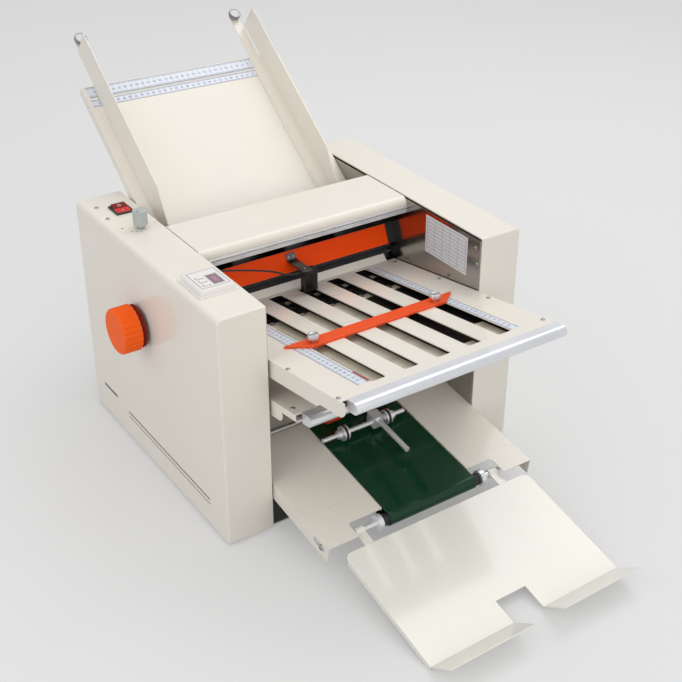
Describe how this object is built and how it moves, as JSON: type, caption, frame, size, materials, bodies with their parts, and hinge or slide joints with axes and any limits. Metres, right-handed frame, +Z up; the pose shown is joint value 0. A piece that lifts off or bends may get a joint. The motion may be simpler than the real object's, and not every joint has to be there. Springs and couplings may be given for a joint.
{
  "type": "paper folding machine",
  "caption": "Desk-top paper folding machine: sloping feed tray, slotted fold plates with stop bars, fold rollers in gear, delivery belt with press wheels, and a catch tray.",
  "frame": {"origin": "bottom centre of the bounding box, on the table", "axes": "+Z up from the table, the operator's side with the catch tray faces -Y, +X to the right as the operator faces it"},
  "size_m": [0.54, 1.0086, 0.5668],
  "materials": {
    "beige_enamel": "semi-gloss enamel",
    "stainless": "polished",
    "zinc_steel": "zinc plated",
    "chrome": "polished",
    "orange_enamel": "gloss enamel",
    "orange_plastic": "satin",
    "black_metal": "satin",
    "black_plastic": "fine grain",
    "red_plastic": "glossy",
    "grey_plastic": "satin",
    "pale_plastic": "satin",
    "green_belt": "smooth",
    "black_rubber": "matte",
    "orange_rubber": "matte",
    "grey_rubber": "matte",
    "aluminium": "ribbed"
  },
  "bodies": {
    "machine": {"left_cover": "beige_enamel", "right_cover": "beige_enamel", "left_side_plate": "stainless", "right_side_plate": "stainless", "base_plate": "zinc_steel", "rubber_feet": "black_rubber", "top_cover": "beige_enamel", "cross_rods": "zinc_steel", "bearings": "zinc_steel", "orange_guard": "orange_enamel", "guard_brackets": "black_metal", "photo_sensor": "black_plastic", "sensor_lead": "black_rubber", "feed_tray": "beige_enamel", "plate_1_upper": "beige_enamel", "plate_1_lower": "beige_enamel", "plate_3_upper": "beige_enamel", "plate_3_lower": "beige_enamel", "rear_plates": "beige_enamel", "plate_trims": "stainless", "delivery_frame": "beige_enamel", "delivery_belt": "green_belt", "switch_bezel": "black_plastic", "counter_body": "pale_plastic", "power_inlet": "black_plastic", "motor": "black_metal", "drive_belts": "black_rubber", "screws": "zinc_steel"},
    "drive_roller": {"fold_roller_2": "grey_rubber", "hand_knob": "orange_plastic"},
    "top_fold_roller": {"fold_roller_1": "grey_rubber"},
    "third_fold_roller": {"fold_roller_3": "grey_rubber"},
    "fourth_fold_roller": {"fold_roller_4": "grey_rubber"},
    "fifth_fold_roller": {"fold_roller_5": "grey_rubber"},
    "last_fold_roller": {"fold_roller_6": "grey_rubber"},
    "feed_wheels": {"feed_roller": "grey_rubber"},
    "motor_wheel": {"motor_pulley": "aluminium"},
    "rear_belt_drum": {"rear_belt_roller": "black_rubber"},
    "front_belt_drum": {"front_belt_roller": "black_rubber"},
    "exit_wheels": {"exit_rollers": "orange_rubber"},
    "swing_arm": {"press_arm": "chrome"},
    "wheel_carriage": {"press_carriage": "chrome"},
    "left_press_wheel": {"press_wheel_left": "black_rubber"},
    "right_press_wheel": {"press_wheel_right": "black_rubber"},
    "first_stop": {"stop_bar_1": "orange_enamel"},
    "first_stop_left_screw": {"stop_screw_left": "chrome"},
    "first_stop_right_screw": {"stop_screw_right": "chrome"},
    "second_stop": {"stop_bar_2": "orange_enamel"},
    "third_stop": {"stop_bar_3": "orange_enamel"},
    "fourth_stop": {"stop_bar_4": "orange_enamel"},
    "left_guide": {"guide_left": "beige_enamel"},
    "right_guide": {"guide_right": "beige_enamel"},
    "left_guide_screw": {"guide_screw_left": "chrome"},
    "right_guide_screw": {"guide_screw_right": "chrome"},
    "switch_rocker": {"rocker": "red_plastic"},
    "speed_dial": {"speed_knob": "grey_plastic"},
    "first_key": {"counter_key_1": "pale_plastic"},
    "second_key": {"counter_key_2": "pale_plastic"},
    "third_key": {"counter_key_3": "pale_plastic"},
    "front_catch": {"catch_tray": "beige_enamel"}
  },
  "joints": [
    {"name": "drive_roller_turn", "type": "hinge", "parent": "machine", "child": "drive_roller", "pos_m": [0.02, 0.11062, 0.244], "axis": [1, 0, 0], "continuous": true},
    {"name": "top_fold_roller_turn", "type": "hinge", "parent": "machine", "child": "top_fold_roller", "pos_m": [0.02, 0.10176, 0.27475], "axis": [1, 0, 0], "continuous": true},
    {"name": "third_fold_roller_turn", "type": "hinge", "parent": "machine", "child": "third_fold_roller", "pos_m": [0.02, 0.10176, 0.21325], "axis": [1, 0, 0], "continuous": true},
    {"name": "fourth_fold_roller_turn", "type": "hinge", "parent": "machine", "child": "fourth_fold_roller", "pos_m": [0.02, 0.11062, 0.1825], "axis": [1, 0, 0], "continuous": true},
    {"name": "fifth_fold_roller_turn", "type": "hinge", "parent": "machine", "child": "fifth_fold_roller", "pos_m": [0.02, 0.10176, 0.15175], "axis": [1, 0, 0], "continuous": true},
    {"name": "last_fold_roller_turn", "type": "hinge", "parent": "machine", "child": "last_fold_roller", "pos_m": [0.02, 0.11062, 0.121], "axis": [1, 0, 0], "continuous": true},
    {"name": "feed_wheels_turn", "type": "hinge", "parent": "machine", "child": "feed_wheels", "pos_m": [0.02, 0.1582, 0.30579], "axis": [1, 0, 0], "continuous": true},
    {"name": "motor_wheel_turn", "type": "hinge", "parent": "machine", "child": "motor_wheel", "pos_m": [0.02, 0.20062, 0.062], "axis": [1, 0, 0], "continuous": true},
    {"name": "rear_belt_drum_turn", "type": "hinge", "parent": "machine", "child": "rear_belt_drum", "pos_m": [0.02, 0.02049, 0.08597], "axis": [1, 0, 0], "continuous": true},
    {"name": "front_belt_drum_turn", "type": "hinge", "parent": "machine", "child": "front_belt_drum", "pos_m": [0.02, -0.24738, 0.0498], "axis": [1, 0, 0], "continuous": true},
    {"name": "exit_wheels_turn", "type": "hinge", "parent": "machine", "child": "exit_wheels", "pos_m": [0.02, -0.05079, 0.10571], "axis": [1, 0, 0], "continuous": true},
    {"name": "left_press_wheel_turn", "type": "hinge", "parent": "wheel_carriage", "child": "left_press_wheel", "pos_m": [0.02, -0.09603, 0.09324], "axis": [1, 0, 0], "continuous": true},
    {"name": "right_press_wheel_turn", "type": "hinge", "parent": "wheel_carriage", "child": "right_press_wheel", "pos_m": [0.02, -0.09603, 0.09324], "axis": [1, 0, 0], "continuous": true},
    {"name": "press_arm_swing", "type": "hinge", "parent": "machine", "child": "swing_arm", "pos_m": [0.035, -0.05079, 0.10571], "axis": [-1, 0, 0], "range_deg": [0, 35]},
    {"name": "press_wheels_slide", "type": "slide", "parent": "swing_arm", "child": "wheel_carriage", "axis": [0, 0.991, 0.1338], "range_m": [-0.07, 0.012]},
    {"name": "first_stop_slide", "type": "slide", "parent": "machine", "child": "first_stop", "axis": [0, -0.9876, 0.157], "range_m": [-0.12, 0.14]},
    {"name": "second_stop_slide", "type": "slide", "parent": "machine", "child": "second_stop", "axis": [0, 0.9876, 0.157], "range_m": [-0.08, 0.1]},
    {"name": "third_stop_slide", "type": "slide", "parent": "machine", "child": "third_stop", "axis": [0, -0.9876, 0.157], "range_m": [-0.08, 0.1]},
    {"name": "fourth_stop_slide", "type": "slide", "parent": "machine", "child": "fourth_stop", "axis": [0, 0.9876, 0.157], "range_m": [-0.08, 0.1]},
    {"name": "first_stop_left_screw_turn", "type": "hinge", "parent": "first_stop", "child": "first_stop_left_screw", "pos_m": [-0.083, -0.11689, 0.27625], "axis": [0, 0.157, 0.9876], "range_deg": [0, 180]},
    {"name": "first_stop_right_screw_turn", "type": "hinge", "parent": "first_stop", "child": "first_stop_right_screw", "pos_m": [0.123, -0.11689, 0.27625], "axis": [0, 0.157, 0.9876], "range_deg": [0, 180]},
    {"name": "left_guide_slide", "type": "slide", "parent": "machine", "child": "left_guide", "axis": [1, 0, 0], "range_m": [-0.01, 0.107]},
    {"name": "right_guide_slide", "type": "slide", "parent": "machine", "child": "right_guide", "axis": [1, 0, 0], "range_m": [-0.092, 0.025]},
    {"name": "left_guide_screw_turn", "type": "hinge", "parent": "left_guide", "child": "left_guide_screw", "pos_m": [-0.125, 0.49785, 0.53994], "axis": [0, -0.6088, 0.7934], "range_deg": [0, 180]},
    {"name": "right_guide_screw_turn", "type": "hinge", "parent": "right_guide", "child": "right_guide_screw", "pos_m": [0.15, 0.49785, 0.53994], "axis": [0, -0.6088, 0.7934], "range_deg": [0, 180]},
    {"name": "rocker_tilt", "type": "hinge", "parent": "machine", "child": "switch_rocker", "pos_m": [-0.1865, 0.24812, 0.36125], "axis": [1, 0, 0], "range_deg": [-16, 0]},
    {"name": "speed_dial_turn", "type": "hinge", "parent": "machine", "child": "speed_dial", "pos_m": [-0.189, 0.17562, 0.36], "axis": [0, 0, 1], "range_deg": [0, 270]},
    {"name": "first_key_press", "type": "slide", "parent": "machine", "child": "first_key", "axis": [0, 0, -1], "range_m": [0, 0.001], "stiffness_N_per_m": 150, "springref_m": -0.001},
    {"name": "second_key_press", "type": "slide", "parent": "machine", "child": "second_key", "axis": [0, 0, -1], "range_m": [0, 0.001], "stiffness_N_per_m": 150, "springref_m": -0.001},
    {"name": "third_key_press", "type": "slide", "parent": "machine", "child": "third_key", "axis": [0, 0, -1], "range_m": [0, 0.001], "stiffness_N_per_m": 150, "springref_m": -0.001},
    {"name": "catch_tray_lift", "type": "hinge", "parent": "machine", "child": "front_catch", "pos_m": [0.02, -0.24738, 0.0498], "axis": [-1, 0, 0], "range_deg": [0, 60]}
  ],
  "couplings": [
    {"joint": "top_fold_roller_turn", "follows": "drive_roller_turn", "ratio": -1},
    {"joint": "third_fold_roller_turn", "follows": "drive_roller_turn", "ratio": -1},
    {"joint": "fourth_fold_roller_turn", "follows": "drive_roller_turn", "ratio": 1},
    {"joint": "fifth_fold_roller_turn", "follows": "drive_roller_turn", "ratio": -1},
    {"joint": "last_fold_roller_turn", "follows": "drive_roller_turn", "ratio": 1},
    {"joint": "feed_wheels_turn", "follows": "drive_roller_turn", "ratio": -1},
    {"joint": "motor_wheel_turn", "follows": "drive_roller_turn", "ratio": 1},
    {"joint": "rear_belt_drum_turn", "follows": "drive_roller_turn", "ratio": 1},
    {"joint": "front_belt_drum_turn", "follows": "drive_roller_turn", "ratio": 1},
    {"joint": "exit_wheels_turn", "follows": "drive_roller_turn", "ratio": -0.6},
    {"joint": "left_press_wheel_turn", "follows": "drive_roller_turn", "ratio": -0.92308},
    {"joint": "right_press_wheel_turn", "follows": "drive_roller_turn", "ratio": -0.92308}
  ]
}
